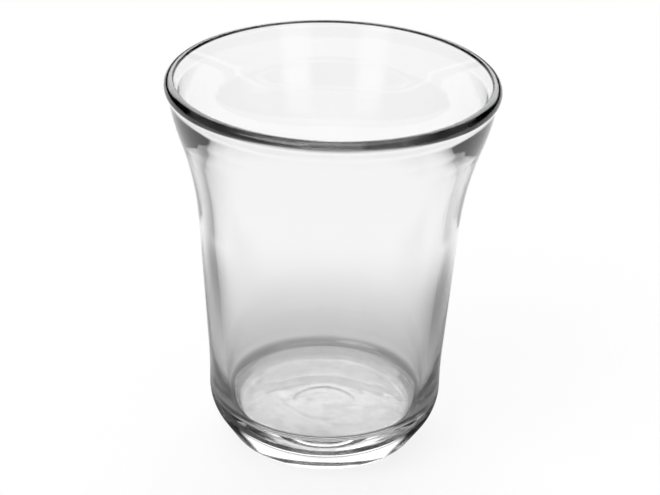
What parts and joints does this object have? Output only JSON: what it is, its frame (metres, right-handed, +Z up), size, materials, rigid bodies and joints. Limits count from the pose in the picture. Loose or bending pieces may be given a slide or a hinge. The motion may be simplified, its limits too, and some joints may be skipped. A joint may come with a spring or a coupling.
{
  "type": "tumbler",
  "caption": "Clear drinking glass with a round tapered wall, a flared rounded rim and a thick rounded base, for holding and drinking cold drinks.",
  "frame": {"origin": "centre of the flat ring under the base, on the surface that the tumbler stands on", "axes": "+Z up along the axis of revolution; X and Y are interchangeable"},
  "size_m": [0.08, 0.08, 0.0955],
  "materials": {
    "clear_glass": "fire-polished, clear and colourless"
  },
  "bodies": {
    "root": {"glass_body": "clear_glass"}
  },
  "joints": []
}
